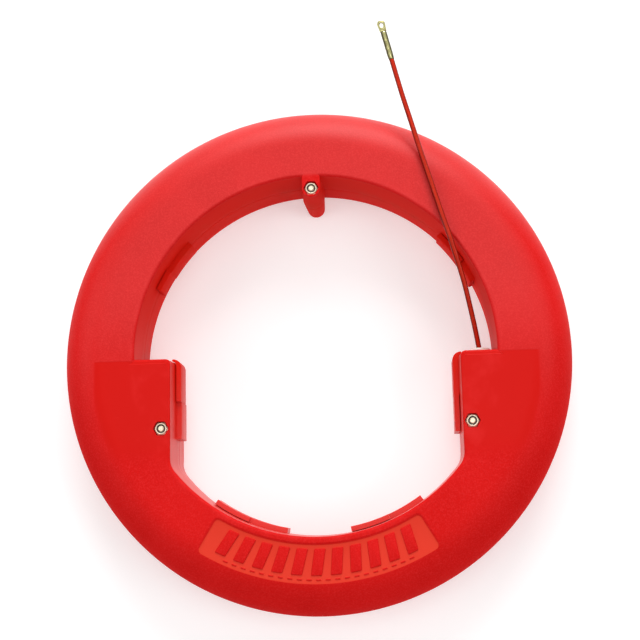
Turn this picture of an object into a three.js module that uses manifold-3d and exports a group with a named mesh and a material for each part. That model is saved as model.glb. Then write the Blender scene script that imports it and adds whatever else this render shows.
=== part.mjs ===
// Fish tape reel: a ring-shaped moulded case that stores a coiled fibreglass rod.
// Two half shells meet on a mid-depth parting plane and are held by three screws with lock nuts.
// The rod leaves through a guide bush on the right-hand block, rises over the ring and ends in a brass eye.
// Millimetres. The ring's axis is +Z, its back face is on z = 0, and the label panel is towards -Y.
import * as THREE from "three";
import { mergeVertices } from "three/addons/utils/BufferGeometryUtils.js";
import Module from "manifold-3d";

const wasm = await Module();
wasm.setup();

// Driving dimensions of the case.
const OUTER_RADIUS = 200;
const INNER_RADIUS = 140;
const DEPTH = 66;
const WALL = 3;
const GAP = 0.3;
const DRAFT = 1.5; // how much further in the inner wall stands at the parting plane
const EDGE = 2.5; // rounding of the ring's inner edge
const MID = DEPTH / 2;
const ROUND = DEPTH / 2; // radius of the rounded outer edge
const ROUND_CENTRE = OUTER_RADIUS - ROUND;
const RING_SEGMENTS = 64;
const ARC_SEGMENTS = 6;
const PANEL_SEGMENTS = 16;
const COIL_SEGMENTS = 40;

// Blocks, left and right of the hand opening.
const BLOCK_X = 111; // distance of a block's inner wall from the centre plane
const BLOCK_TOP = 0;
const BLOCK_CORNER = 5;
const BLOCK_FILLET = 15; // where the block's wall runs into the ring's inner wall
const BLOCK_ROOT_X = 150;
const BLOCK_ROOT_Y = -100;

// Interlocking tongues on the inner wall.
const TONGUE = 3.9; // thickness
const TONGUE_OVERLAP = 13; // reach past the parting plane
const TONGUE_SEAT = 10; // height of the root on the tongue's own shell
const TONGUE_ARCS = [[24.5, 31.6], [136.5, 148.2], [246.9, 259.7], [293.3, 305.3]]; // degrees, front shell
const UPPER_TONGUE_END = -32.9; // the upper block tongue runs from the block's top corner down to here
const LOWER_TONGUE = [-62, -33.3];
const TONGUE_CORNER = 6.5; // rounding of the upper block tongue's top corner
const TONGUE_RISE = 0.6; // how far it stands above the block's top face

// Fasteners: 3/16 inch machine screws, washers and nylon-insert lock nuts.
const SCREW_RADIUS = 2.4;
const HOLE_RADIUS = 2.7;
const COLUMN_RADIUS = 7;
const BOSS_RADIUS = 8.6;
const BOSS_FACE_RADIUS = 7.4;
const POCKET_FLATS = 10.6;
const POCKET_DEPTH = 7.5;
const NUT_FLATS = 9.5;
const NUT_HEIGHT = 6;
const INSERT_HEIGHT = 1.6;
const HEAD_RADIUS = 4.6;
const HEAD_HEIGHT = 3.2;
const WASHER_RADIUS = 5;
const WASHER_THICKNESS = 1;
const BLOCK_SCREW = [119, -55.8];
const TOP_SCREW = [0, 130.5];

// Label panel, a shallow arc-shaped recess at the bottom of each face.
const LABEL_INNER = 146;
const LABEL_OUTER = 175;
const LABEL_HALF_ANGLE = 31.5;
const LABEL_DEPTH = 1;

// Rod, guide bush, coil and pulling eye.
const ROD_RADIUS = 2;
const ROD_SIDES = 10;
const ROD_STEPS = 28;
const BUSH_X = 128.5;
const BUSH_BODY_RADIUS = 6.5;
const BUSH_BODY_LENGTH = 5;
const FLANGE_RADIUS = 8.5;
const FLANGE_HEIGHT = 3.7;
const FEED_LENGTH = 55; // straight stretch of rod inside the right block
const FERRULE_LENGTH = 24;
const FERRULE_RADIUS = 2.5;
const EYE_LENGTH = 9.6;
const EYE_WIDTH = 6.6;
const EYE_HOLE = [1.6, 2.15]; // half width and half length
const EYE_HOLE_Y = 5.4;
const EYE_FOOT = 5.4;
const EYE_THICKNESS = 2.4;

// The free rod's centreline, from the bush's mouth to the ferrule: out of the hand opening and over the ring.
const ROD_ROUTE = [
  [127.9, 3.9, 34.7], [125.0, 19.0, 41.2], [121.4, 35.4, 48.2], [117.6, 51.5, 55.1], [113.7, 65.0, 60.9],
  [109.9, 77.3, 65.9], [106.7, 88.0, 68.9], [103.2, 99.0, 69.8], [98.3, 115.8, 69.5], [92.7, 135.5, 69.1],
  [87.2, 154.5, 68.9], [80.5, 179.1, 68.9], [73.5, 204.4, 69.0], [66.5, 232.2, 69.4],
];

const part = new THREE.Group();

// ---- helpers ----

function solidOf(geometry) {
  const bare = geometry.index ? geometry.toNonIndexed() : geometry.clone();
  bare.deleteAttribute("normal");
  bare.deleteAttribute("uv");
  const merged = mergeVertices(bare, 1e-4);
  const vertProperties = merged.attributes.position.array;
  const triVerts = new Uint32Array(merged.index.array);
  return new wasm.Manifold(new wasm.Mesh({ numProp: 3, vertProperties, triVerts }));
}

function geometryOf(solid) {
  const mesh = solid.getMesh();
  const geometry = new THREE.BufferGeometry();
  geometry.setAttribute("position", new THREE.BufferAttribute(new Float32Array(mesh.vertProperties), 3));
  geometry.setIndex(new THREE.BufferAttribute(new Uint32Array(mesh.triVerts), 1));
  return geometry;
}

function place(name, geometry, material, position = [0, 0, 0], rotation = [0, 0, 0]) {
  const mesh = new THREE.Mesh(geometry, material);
  mesh.name = name;
  mesh.position.set(...position);
  mesh.rotation.set(...rotation);
  part.add(mesh);
  return mesh;
}

// A solid of revolution about +Z from a closed profile of [radius, height] points, anticlockwise.
function turned(profile, segments) {
  const points = [...profile, profile[0]].map(([r, h]) => new THREE.Vector2(r, h));
  return new THREE.LatheGeometry(points, segments).rotateX(Math.PI / 2);
}

// A turned solid whose profile starts and ends on the axis, from the bottom up.
function turnedSolid(profile, segments) {
  const points = [[0, profile[0][1]], ...profile, [0, profile.at(-1)[1]]];
  const outline = points.map(([r, h]) => new THREE.Vector2(r, h));
  return new THREE.LatheGeometry(outline, segments).rotateX(Math.PI / 2);
}

function prism(shape, low, high, curveSegments = 8) {
  const depth = high - low;
  const geometry = new THREE.ExtrudeGeometry(shape, { depth, bevelEnabled: false, curveSegments });
  return geometry.translate(0, 0, low);
}

function cylinder(radius, low, high, x, y, segments = 24, topRadius = radius) {
  const geometry = new THREE.CylinderGeometry(topRadius, radius, high - low, segments).rotateX(Math.PI / 2);
  return geometry.translate(x, y, (low + high) / 2);
}

// A hexagon with two corners on the X axis, given its width across flats.
function hexagon(flats) {
  const shape = new THREE.Shape();
  const corner = flats / Math.sqrt(3);
  for (let i = 0; i < 6; i += 1) {
    const angle = (i * Math.PI) / 3;
    const point = [corner * Math.cos(angle), corner * Math.sin(angle)];
    if (i) shape.lineTo(...point);
    else shape.moveTo(...point);
  }
  return shape;
}

function hexPocket(x, y) {
  return solidOf(prism(hexagon(POCKET_FLATS), DEPTH - POCKET_DEPTH, DEPTH + 1).translate(x, y, 0));
}

// A sector of a ring, seen from the front.
function sector(inner, outer, fromDegrees, toDegrees) {
  const shape = new THREE.Shape();
  const [from, to] = [fromDegrees, toDegrees].map(THREE.MathUtils.degToRad);
  shape.absarc(0, 0, outer, from, to, false);
  shape.absarc(0, 0, inner, to, from, true);
  return shape;
}

// ---- half shells ----

const PARTING = MID + GAP / 2;

// Outer or inner surface of a half ring as a closed profile; inset 0 is outside, inset WALL is the cavity.
function ringProfile(inset, floor) {
  const profile = [];
  const top = DEPTH - inset;
  const radius = ROUND - inset;
  const inner = INNER_RADIUS + inset;
  profile.push([inner - DRAFT, floor]);
  const steps = 5;
  const start = Math.asin(Math.max(floor - MID, 0) / radius);
  if (floor < MID) profile.push([ROUND_CENTRE + radius, floor]);
  for (let i = 0; i <= steps; i += 1) {
    const angle = start + ((Math.PI / 2 - start) * i) / steps;
    profile.push([ROUND_CENTRE + radius * Math.cos(angle), MID + radius * Math.sin(angle)]);
  }
  profile.push([inner + EDGE, top], [inner, top - EDGE]);
  return profile;
}

// A block's plan; inset 0 is the outside, inset WALL the hollow, and the corner arcs follow the inset.
function blockPlan(inset) {
  const shape = new THREE.Shape();
  const x = BLOCK_X + inset;
  const y = BLOCK_TOP - inset;
  const corner = BLOCK_CORNER - inset;
  const fillet = BLOCK_FILLET + inset;
  const filletX = BLOCK_X - BLOCK_FILLET;
  const filletY = -Math.sqrt((INNER_RADIUS - BLOCK_FILLET) ** 2 - filletX ** 2);
  const end = Math.atan2(filletY, filletX);
  shape.moveTo(BLOCK_ROOT_X, y);
  shape.lineTo(x + corner, y);
  shape.absarc(x + corner, y - corner, corner, Math.PI / 2, Math.PI, false);
  shape.lineTo(x, filletY);
  shape.absarc(filletX, filletY, fillet, 0, end, true);
  shape.lineTo(BLOCK_ROOT_X - 20, BLOCK_ROOT_Y);
  shape.lineTo(BLOCK_ROOT_X, BLOCK_ROOT_Y / 2);
  return shape;
}

function mirrored(solid) {
  return solid.mirror([1, 0, 0]);
}

// A block's tongue, a strip along its inner wall; the upper one also follows the block's top corner.
function blockTongue(upper) {
  const strip = (inner) => {
    const shape = new THREE.Shape();
    const outer = BLOCK_X - TONGUE - GAP;
    if (!upper) {
      const [low, high] = LOWER_TONGUE;
      shape.moveTo(outer, low);
      shape.lineTo(inner, low);
      shape.lineTo(inner, high);
      shape.lineTo(outer, high);
      return shape;
    }
    const centre = [BLOCK_X + BLOCK_CORNER, -BLOCK_CORNER];
    const innerRadius = centre[0] - inner;
    const cornerX = outer + TONGUE_CORNER;
    const end = Math.acos((cornerX - centre[0]) / innerRadius);
    shape.moveTo(outer, UPPER_TONGUE_END);
    shape.lineTo(inner, UPPER_TONGUE_END);
    shape.lineTo(inner, -BLOCK_CORNER);
    shape.absarc(...centre, innerRadius, Math.PI, end, true);
    shape.lineTo(cornerX, TONGUE_RISE);
    shape.absarc(cornerX, TONGUE_RISE - TONGUE_CORNER, TONGUE_CORNER, Math.PI / 2, Math.PI, false);
    return shape;
  };
  const reach = solidOf(prism(strip(BLOCK_X - GAP), MID - TONGUE_OVERLAP, MID + TONGUE_SEAT, ARC_SEGMENTS));
  const root = solidOf(prism(strip(BLOCK_X + 1), PARTING, MID + TONGUE_SEAT, ARC_SEGMENTS));
  return reach.add(root);
}

function arcTongue([from, to]) {
  const inner = INNER_RADIUS - DRAFT - TONGUE;
  const high = MID + TONGUE_SEAT;
  const strip = (outer, low) => solidOf(prism(sector(inner, outer, from, to), low, high, ARC_SEGMENTS));
  const reach = strip(INNER_RADIUS - DRAFT - GAP, MID - TONGUE_OVERLAP);
  return reach.add(strip(INNER_RADIUS + 1, PARTING));
}

// The round end of the top boss, and its straight sides up to the ring.
function topBoss() {
  const [x, y] = TOP_SCREW;
  const end = solidOf(cylinder(BOSS_RADIUS, PARTING, DEPTH, x, y, 32, BOSS_FACE_RADIUS));
  const reach = INNER_RADIUS + DRAFT - y;
  const side = new THREE.Shape([[-BOSS_RADIUS, PARTING], [BOSS_RADIUS, PARTING], [BOSS_FACE_RADIUS, DEPTH],
    [-BOSS_FACE_RADIUS, DEPTH]].map(([across, height]) => new THREE.Vector2(across, height)));
  const neck = prism(side, 0, reach).rotateX(Math.PI / 2).translate(x, y + reach, 0);
  return end.add(solidOf(neck));
}

// The front half shell. The rear one is the same moulding, turned over about the Y axis.
function halfShell(bushX) {
  let body = solidOf(turned(ringProfile(0, PARTING), RING_SEGMENTS));
  let cavity = solidOf(turned(ringProfile(WALL, MID - 1), RING_SEGMENTS));
  const block = solidOf(prism(blockPlan(0), PARTING, DEPTH));
  const hollow = solidOf(prism(blockPlan(WALL), MID - 1, DEPTH - WALL));
  body = body.add(block).add(mirrored(block));
  cavity = cavity.add(hollow).add(mirrored(hollow));
  let shell = body.subtract(cavity).add(topBoss());
  const screws = [TOP_SCREW, BLOCK_SCREW, [-BLOCK_SCREW[0], BLOCK_SCREW[1]]];
  for (const [x, y] of screws.slice(1)) {
    shell = shell.add(solidOf(cylinder(COLUMN_RADIUS, PARTING, DEPTH - 1, x, y)));
  }
  for (const [x, y] of screws) {
    const hole = solidOf(cylinder(HOLE_RADIUS, MID - 1, DEPTH, x, y, 16));
    shell = shell.subtract(hexPocket(x, y)).subtract(hole);
  }
  for (const arc of TONGUE_ARCS) shell = shell.add(arcTongue(arc));
  shell = shell.add(blockTongue(true)).add(mirrored(blockTongue(false)));
  const panel = sector(LABEL_INNER, LABEL_OUTER, 270 - LABEL_HALF_ANGLE, 270 + LABEL_HALF_ANGLE);
  shell = shell.subtract(solidOf(prism(panel, DEPTH - LABEL_DEPTH, DEPTH + 1, PANEL_SEGMENTS)));
  const bushHole = cylinder(BUSH_BODY_RADIUS + GAP, -8, 8, 0, 0).rotateX(Math.PI / 2);
  return geometryOf(shell.subtract(solidOf(bushHole.translate(bushX, BLOCK_TOP, MID))));
}

const red = new THREE.MeshStandardMaterial({ color: 0xd8282c, roughness: 0.5, metalness: 0 });
place("front_shell", halfShell(BUSH_X), red.clone());
place("rear_shell", halfShell(-BUSH_X), red.clone(), [0, 0, DEPTH], [0, Math.PI, 0]);

// ---- fasteners: head and washer in the rear pocket, lock nut in the front one ----

const SCREW_TIP = DEPTH - 1;
const headTop = POCKET_DEPTH - GAP - WASHER_THICKNESS - GAP; // the rear pocket's floor is at POCKET_DEPTH

function screw() {
  const low = headTop - HEAD_HEIGHT;
  const profile = [
    [HEAD_RADIUS - 1.2, low], [HEAD_RADIUS, low + 1.2], [HEAD_RADIUS, headTop],
    [SCREW_RADIUS, headTop], [SCREW_RADIUS, SCREW_TIP - 0.6], [SCREW_RADIUS - 0.6, SCREW_TIP],
  ];
  const slot = new THREE.BoxGeometry(2 * HEAD_RADIUS, 1.1, 2).translate(0, 0, low);
  return geometryOf(solidOf(turnedSolid(profile, 20)).subtract(solidOf(slot)));
}

function washer() {
  const low = headTop + GAP;
  const high = low + WASHER_THICKNESS;
  return turned([[HOLE_RADIUS, low], [WASHER_RADIUS, low], [WASHER_RADIUS, high], [HOLE_RADIUS, high]], 24);
}

// The nut is a hexagon with a turned collar; the nylon insert sits inside the collar.
const nutLow = DEPTH - POCKET_DEPTH + GAP;
const nutHigh = nutLow + NUT_HEIGHT;

function lockNut() {
  const hex = solidOf(prism(hexagon(NUT_FLATS), nutLow, nutHigh - INSERT_HEIGHT));
  const collar = solidOf(cylinder(NUT_FLATS / 2 - 0.1, nutLow, nutHigh, 0, 0, 24, NUT_FLATS / 2 - 0.5));
  const bore = solidOf(cylinder(HOLE_RADIUS, nutLow - 1, nutHigh + 1, 0, 0, 20));
  const seat = solidOf(cylinder(NUT_FLATS / 2 - 1.1, nutHigh - INSERT_HEIGHT - GAP, nutHigh + 1, 0, 0, 24));
  return geometryOf(hex.add(collar).subtract(bore).subtract(seat));
}

function nutInsert() {
  const outer = NUT_FLATS / 2 - 1.1 - GAP;
  const low = nutHigh - INSERT_HEIGHT;
  return turned([[HOLE_RADIUS, low], [outer, low], [outer, nutHigh - GAP], [HOLE_RADIUS, nutHigh - GAP]], 20);
}

const zinc = new THREE.MeshStandardMaterial({ color: 0xcfc6ae, roughness: 0.3, metalness: 1 });
const nylon = new THREE.MeshStandardMaterial({ color: 0x3a302c, roughness: 0.5, metalness: 0 });
const stations = { top: TOP_SCREW, left: [-BLOCK_SCREW[0], BLOCK_SCREW[1]], right: BLOCK_SCREW };
for (const [side, [x, y]] of Object.entries(stations)) {
  place(`screw_${side}`, screw(), zinc.clone(), [x, y, 0]);
  place(`washer_${side}`, washer(), zinc.clone(), [x, y, 0]);
  place(`lock_nut_${side}`, lockNut(), zinc.clone(), [x, y, 0]);
  place(`nut_insert_${side}`, nutInsert(), nylon.clone(), [x, y, 0]);
}

// ---- guide bush, held between the shells in the right block's top wall ----

const mouth = new THREE.Vector3(...ROD_ROUTE[0]);
const exitDirection = new THREE.Vector3(...ROD_ROUTE[1]).sub(mouth).normalize();

function guideBush() {
  const profile = [
    [BUSH_BODY_RADIUS, -BUSH_BODY_LENGTH], [BUSH_BODY_RADIUS, GAP], [FLANGE_RADIUS, GAP],
    [FLANGE_RADIUS, FLANGE_HEIGHT - 1.4], [FLANGE_RADIUS - 1.4, FLANGE_HEIGHT],
  ];
  const body = turnedSolid(profile, 28).rotateX(-Math.PI / 2).translate(BUSH_X, BLOCK_TOP, MID);
  const bore = new THREE.CylinderGeometry(ROD_RADIUS + 0.6, ROD_RADIUS + 0.6, 40, 16);
  const turn = new THREE.Quaternion().setFromUnitVectors(new THREE.Vector3(0, 1, 0), exitDirection);
  bore.applyQuaternion(turn).translate(mouth.x, mouth.y, mouth.z);
  return geometryOf(solidOf(body).subtract(solidOf(bore)));
}

const bushNylon = new THREE.MeshStandardMaterial({ color: 0xf1ece2, roughness: 0.4, metalness: 0 });
place("guide_bush", guideBush(), bushNylon);

// ---- rod ----

const glassRod = new THREE.MeshStandardMaterial({ color: 0xc8200c, roughness: 0.25, metalness: 0 });

function rodSection() {
  const shape = new THREE.Shape();
  for (let i = 0; i < ROD_SIDES; i += 1) {
    const angle = (2 * Math.PI * i) / ROD_SIDES;
    const point = [ROD_RADIUS * Math.cos(angle), ROD_RADIUS * Math.sin(angle)];
    if (i) shape.lineTo(...point);
    else shape.moveTo(...point);
  }
  return shape;
}

function rodAlong(points, steps) {
  const path = points.length > 2 ? new THREE.CatmullRomCurve3(points) : new THREE.LineCurve3(...points);
  return new THREE.ExtrudeGeometry(rodSection(), { steps, extrudePath: path, bevelEnabled: false });
}

const route = ROD_ROUTE.map((point) => new THREE.Vector3(...point));
place("rod_leader", rodAlong(route, ROD_STEPS), glassRod.clone());

// The straight stretch behind the bush, which follows the leader out.
const feedStart = mouth.clone().addScaledVector(exitDirection, -FEED_LENGTH);
const feedEnd = mouth.clone().addScaledVector(exitDirection, -GAP);
place("rod_feed", rodAlong([feedStart, feedEnd], 1), glassRod.clone());

// The stored rod as one ring with the outline of its turns, inside the rounded outer wall.
const COIL_INNER = 174;
const coilProfile = [
  [COIL_INNER, 14], [184, 14], [190, 20], [194, 28], [194, 38], [190, 46], [184, 52], [COIL_INNER, 52],
];
place("rod_coil", turned(coilProfile, COIL_SEGMENTS), glassRod.clone());

// A crimped stop on the rod's inner end keeps it from being pulled out of the case.
const stop = cylinder(3.2, -9, 9, 0, 0, 12).rotateX(Math.PI / 2).translate(COIL_INNER - 4, 0, MID);
const brass = new THREE.MeshStandardMaterial({ color: 0xb59a3c, roughness: 0.3, metalness: 1 });
place("rod_end_stop", stop.rotateZ(Math.PI), brass.clone());

// ---- brass pulling eye: a ferrule crimped on the rod and a flat eye at its end ----

const tip = route.at(-1);
const tipDirection = tip.clone().sub(route.at(-2)).normalize();
const tipTurn = new THREE.Quaternion().setFromUnitVectors(new THREE.Vector3(0, 0, 1), tipDirection);

function ferrule() {
  const profile = [
    [ROD_RADIUS + 0.1, 0], [FERRULE_RADIUS, 2.4],
    [FERRULE_RADIUS, FERRULE_LENGTH - 1], [FERRULE_RADIUS - 0.6, FERRULE_LENGTH],
  ];
  return turnedSolid(profile, 16);
}

// The eye lies flat, facing +Z, with its length along the rod.
function pullingEye() {
  const shape = new THREE.Shape();
  const half = EYE_WIDTH / 2;
  shape.absarc(0, EYE_LENGTH - half, half, 0, Math.PI, false);
  shape.lineTo(-EYE_FOOT / 2, 0);
  shape.lineTo(EYE_FOOT / 2, 0);
  const hole = new THREE.Path();
  hole.absellipse(0, EYE_HOLE_Y, ...EYE_HOLE, 0, 2 * Math.PI, true);
  shape.holes.push(hole);
  return prism(shape, -EYE_THICKNESS / 2, EYE_THICKNESS / 2, 10);
}

const ferruleStart = tip.clone().addScaledVector(tipDirection, GAP);
const ferruleMesh = place("tip_ferrule", ferrule(), brass.clone(), ferruleStart.toArray());
ferruleMesh.quaternion.copy(tipTurn);
const eyeStart = ferruleStart.clone().addScaledVector(tipDirection, FERRULE_LENGTH + GAP);
const eyeMesh = place("pulling_eye", pullingEye(), brass.clone(), eyeStart.toArray());
const eyeAngle = Math.atan2(tipDirection.y, tipDirection.x) - Math.PI / 2;
eyeMesh.rotation.set(0, 0, eyeAngle);

export default part;
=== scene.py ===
# %% [markdown]
# # Fish tape reel
# A ring-shaped red case of two moulded half shells stores a long glass-fibre rod. The rod comes out of a
# white guide bush on the right-hand block, rises over the ring and ends in a brass pulling eye. The packed
# CAD model is the fixed frame. Every piece made here is laid over it, in metres and in the same axes: the
# ring's axis is +Z, its back face is on z = 0 and the label panel is towards -Y.

from math import asin, atan2, cos, degrees, pi, radians, sin, sqrt

import bmesh
import bpy
from mathutils import Matrix, Vector


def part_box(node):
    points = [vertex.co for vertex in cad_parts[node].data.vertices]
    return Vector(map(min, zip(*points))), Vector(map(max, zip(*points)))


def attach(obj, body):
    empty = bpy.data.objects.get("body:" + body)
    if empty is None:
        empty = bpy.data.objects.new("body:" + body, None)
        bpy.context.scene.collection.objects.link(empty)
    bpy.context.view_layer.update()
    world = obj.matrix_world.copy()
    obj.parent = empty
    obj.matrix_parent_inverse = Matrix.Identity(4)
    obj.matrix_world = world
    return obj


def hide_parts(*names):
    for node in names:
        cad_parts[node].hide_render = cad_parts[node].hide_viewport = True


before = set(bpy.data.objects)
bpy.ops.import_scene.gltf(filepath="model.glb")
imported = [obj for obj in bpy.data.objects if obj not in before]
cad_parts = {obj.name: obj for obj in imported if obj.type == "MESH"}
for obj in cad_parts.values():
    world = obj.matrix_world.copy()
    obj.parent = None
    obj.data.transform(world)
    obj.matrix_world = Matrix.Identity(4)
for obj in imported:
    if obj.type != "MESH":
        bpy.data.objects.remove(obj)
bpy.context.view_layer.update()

# %% [markdown]
# ## Units and the case's leading sizes
# The moulding is easiest to think of in millimetres, as its drawing would be, so the sizes are written in
# millimetres and each mesh is scaled to metres when it is made. Whatever the frame can tell comes from the
# frame: the depth and the outer radius are read from a shell's box, so the looks can't drift away from the
# CAD.

# %% Leading sizes, in millimetres
MM = 0.001
_, front_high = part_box("front_shell")
_, rear_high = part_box("rear_shell")
DEPTH = round(front_high.z / MM, 2)
OUTER = round(front_high.x / MM, 2)
MID = DEPTH / 2
PARTING = MID + 0.15        # where the front half begins
FACE_EDGE = OUTER - MID     # where the flat face ends and the round rim begins
print("depth", DEPTH, "outer radius", OUTER, "rear half up to", round(rear_high.z / MM, 2))


def add_object(name, data=None):
    """A new object in the scene, with an empty mesh if it is given no data."""
    obj = bpy.data.objects.new(name, data or bpy.data.meshes.new(name))
    bpy.context.scene.collection.objects.link(obj)
    return obj


# %% [markdown]
# ## Camera
# The reel lies on its back and is looked at from above, from a little below its label panel and to the
# right of its centre. A long lens at about a metre keeps the ring almost round and still shows the upper
# and left inner walls.

# %% Camera
LENS = 73.4
CAMERA_PLACE = Vector((0.0654, -0.1543, 1.0542))
CAMERA_TURN = Vector((10.21, 3.59, -1.48))


def add_camera(place, turn_degrees, lens):
    data = bpy.data.cameras.new("camera")
    data.lens = lens
    camera = add_object("camera", data)
    turn = Matrix.Rotation(radians(turn_degrees.length), 4, turn_degrees.normalized())
    camera.matrix_world = Matrix.Translation(place) @ turn
    bpy.context.scene.camera = camera
    return camera


camera = add_camera(CAMERA_PLACE, CAMERA_TURN, LENS)
print("camera at", tuple(round(v, 3) for v in camera.location))

# %% [markdown]
# ## Mesh helpers
# Almost every piece here is one of three things: rows of points joined into a skin, a profile turned about
# an axis, or a flat plate. So there is one helper for each, and one that turns lists of points and faces
# into an object.

# %% Points and faces to an object
MERGE = 0.001 * MM


def finish_mesh(bm, name, sharp=32):
    """Writes a bmesh as a plain object, with outward faces and smooth shading up to the sharp angle."""
    bmesh.ops.remove_doubles(bm, verts=bm.verts, dist=MERGE)
    bmesh.ops.recalc_face_normals(bm, faces=bm.faces)
    obj = add_object(name)
    bm.to_mesh(obj.data)
    bm.free()
    shade(obj, sharp)
    return obj


def shade(obj, sharp):
    """Smooth shading up to the sharp angle."""
    obj.data.shade_smooth()
    obj.data.set_sharp_from_angle(angle=radians(sharp))


def add_rows(bm, rows, ring=False):
    """Skins closed rows of points, given in millimetres. ring joins the last row to the first."""
    grid = [[bm.verts.new(Vector(point) * MM) for point in row] for row in rows]
    for low, high in list(zip(grid, grid[1:])) + ([(grid[-1], grid[0])] if ring else []):
        for i in range(len(low)):
            j = (i + 1) % len(low)
            bm.faces.new((low[i], low[j], high[j], high[i]))
    return grid


def closed_rows(bm, rows):
    """Skins rows, and closes the first and the last with a face."""
    grid = add_rows(bm, rows)
    for row in (grid[0], grid[-1]):
        bm.faces.new(row)


def fill_level(bm, height):
    """Fills the flat area between the open edges at a height, after merging the points that coincide."""
    bmesh.ops.remove_doubles(bm, verts=bm.verts, dist=MERGE)
    level = [edge for edge in bm.edges if edge.is_boundary
             and all(abs(vert.co.z - height * MM) < 10 * MERGE for vert in edge.verts)]
    bmesh.ops.triangle_fill(bm, edges=level, use_beauty=True)


# %% Turned pieces
def circle(radius, height, count):
    angles = [2 * pi * i / count for i in range(count)]
    return [Vector((radius * cos(a), radius * sin(a), height)) for a in angles]


def turned(bm, profile, sides, place=(0, 0, 0), axis=(0, 0, 1)):
    """Turns (radius, height) points about an axis, and closes both ends with a flat face."""
    turn = Vector((0, 0, 1)).rotation_difference(Vector(axis))
    closed_rows(bm, [[Vector(place) + turn @ spot for spot in circle(radius, height, sides)]
                     for radius, height in profile])


def turned_ring(name, profile, sides=48):
    """A ring about +Z whose section is a closed line of (radius, height) points."""
    bm = bmesh.new()
    add_rows(bm, [circle(radius, height, sides) for radius, height in profile], ring=True)
    return finish_mesh(bm, name)


# %% [markdown]
# ## The free rod
# A fishing rod for cables is a solid bar of glass fibre in resin, 4 mm thick. It is springy, so it leaves
# the bush straight, bends in one long easy curve and rests on the ring's face. It is made first, because it
# decides how much room the whole model takes. A tube skinned along a smooth line through the route's points
# keeps an even thickness, and its own UV map, with the real length along it, lets the fibres run along the
# rod.

# %% The rod's route
ROD_DIAMETER = 4.0
ROD_ROUTE = [
    (127.9, 3.9, 34.7), (125.0, 19.0, 41.2), (121.4, 35.4, 48.2), (117.6, 51.5, 55.1), (113.7, 65.0, 60.9),
    (109.9, 77.3, 65.9), (106.7, 88.0, 68.9), (103.2, 99.0, 69.8), (98.3, 115.8, 69.5), (92.7, 135.5, 69.1),
    (87.2, 154.5, 68.9), (80.5, 179.1, 68.9), (73.5, 204.4, 69.0), (66.5, 232.2, 69.4),
]


def smooth_line(points, steps):
    """A Catmull-Rom line through the points, with its ends carried straight on."""
    points = [Vector(point) for point in points]
    points = [2 * points[0] - points[1], *points, 2 * points[-1] - points[-2]]
    line = []
    for a, b, c, d in zip(points, points[1:], points[2:], points[3:]):
        for step in range(steps):
            t = step / steps
            line.append(0.5 * (2 * b + (c - a) * t + (2 * a - 5 * b + 4 * c - d) * t ** 2
                               + (3 * b - a - 3 * c + d) * t ** 3))
    return [*line, points[-2]]


def line_length(line):
    return sum((b - a).length for a, b in zip(line, line[1:]))


rod_line = smooth_line(ROD_ROUTE, 6)
exit_point = rod_line[0]
exit_way = (Vector(ROD_ROUTE[1]) - exit_point).normalized()
tip_way = (Vector(ROD_ROUTE[-1]) - Vector(ROD_ROUTE[-2])).normalized()
ROD_LENGTH = line_length(rod_line)
print("free rod", round(ROD_LENGTH, 1), "mm")


# %% A tube with a length-true UV map
def tube(name, line, radius, sides=20):
    """A closed tube along a line. Its UV map holds the turn in x and the length so far, in metres, in y.
    The turn is 0.75 on top of the tube and 0.25 below it.
    """
    bm = bmesh.new()
    ways = [(line[min(i + 1, len(line) - 1)] - line[max(i - 1, 0)]).normalized() for i in range(len(line))]
    angles = [2 * pi * k / sides for k in range(sides)]
    rows, lengths, run = [], [], 0.0
    for i, (spot, way) in enumerate(zip(line, ways)):
        side = way.cross(Vector((0, 0, 1))).normalized()
        other = way.cross(side)
        run += (spot - line[i - 1]).length if i else 0.0
        lengths.append(run)
        rows.append([spot + radius * (side * cos(a) + other * sin(a)) for a in angles])
    grid = [[bm.verts.new(point * MM) for point in row] for row in rows]
    uv = bm.loops.layers.uv.new("Along")
    for i in range(len(grid) - 1):
        for k in range(sides):
            nxt = (k + 1) % sides
            face = bm.faces.new((grid[i][k], grid[i][nxt], grid[i + 1][nxt], grid[i + 1][k]))
            corners = ((k, i), (k + 1, i), (k + 1, i + 1), (k, i + 1))
            for loop, (turn, step) in zip(face.loops, corners):
                loop[uv].uv = (turn / sides, lengths[step] * MM)
    for end in (grid[0], grid[-1]):
        bm.faces.new(end)
    return finish_mesh(bm, name)


rod_leader = tube("free_rod", rod_line, ROD_DIAMETER / 2)
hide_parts("rod_leader")
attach(rod_leader, "leader")
print(rod_leader.name, len(rod_leader.data.polygons), "faces")

# %% [markdown]
# ## Ferrule and pulling eye
# A brass sleeve is crimped over the rod's end and carries a flat brass eye, to which a cable is tied. The
# sleeve is a turned piece: a thin lip that tapers up from the rod, a plain barrel with two shallow crimps
# and a rounded end. The eye is a small plate with an oval hole, and its edges are well rounded so that it
# doesn't cut the cable.

# %% Ferrule
FERRULE_LENGTH = 24.0
JOIN_GAP = 0.3
ferrule_start = rod_line[-1] + tip_way * JOIN_GAP
FERRULE_PROFILE = [
    (2.06, 0.0), (2.16, 0.15), (2.3, 1.6), (2.42, 3.2), (2.5, 4.4), (2.5, 7.0), (2.44, 7.5), (2.44, 8.3),
    (2.5, 8.8), (2.5, 14.2), (2.44, 14.7), (2.44, 15.5), (2.5, 16.0), (2.5, 22.6), (2.42, 23.2), (2.2, 23.7),
    (1.8, FERRULE_LENGTH),
]
bm = bmesh.new()
turned(bm, FERRULE_PROFILE, 40, ferrule_start, tip_way)
tip_ferrule = finish_mesh(bm, "tip_ferrule_turned")
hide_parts("tip_ferrule")
print(tip_ferrule.name, len(tip_ferrule.data.polygons), "faces")

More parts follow.
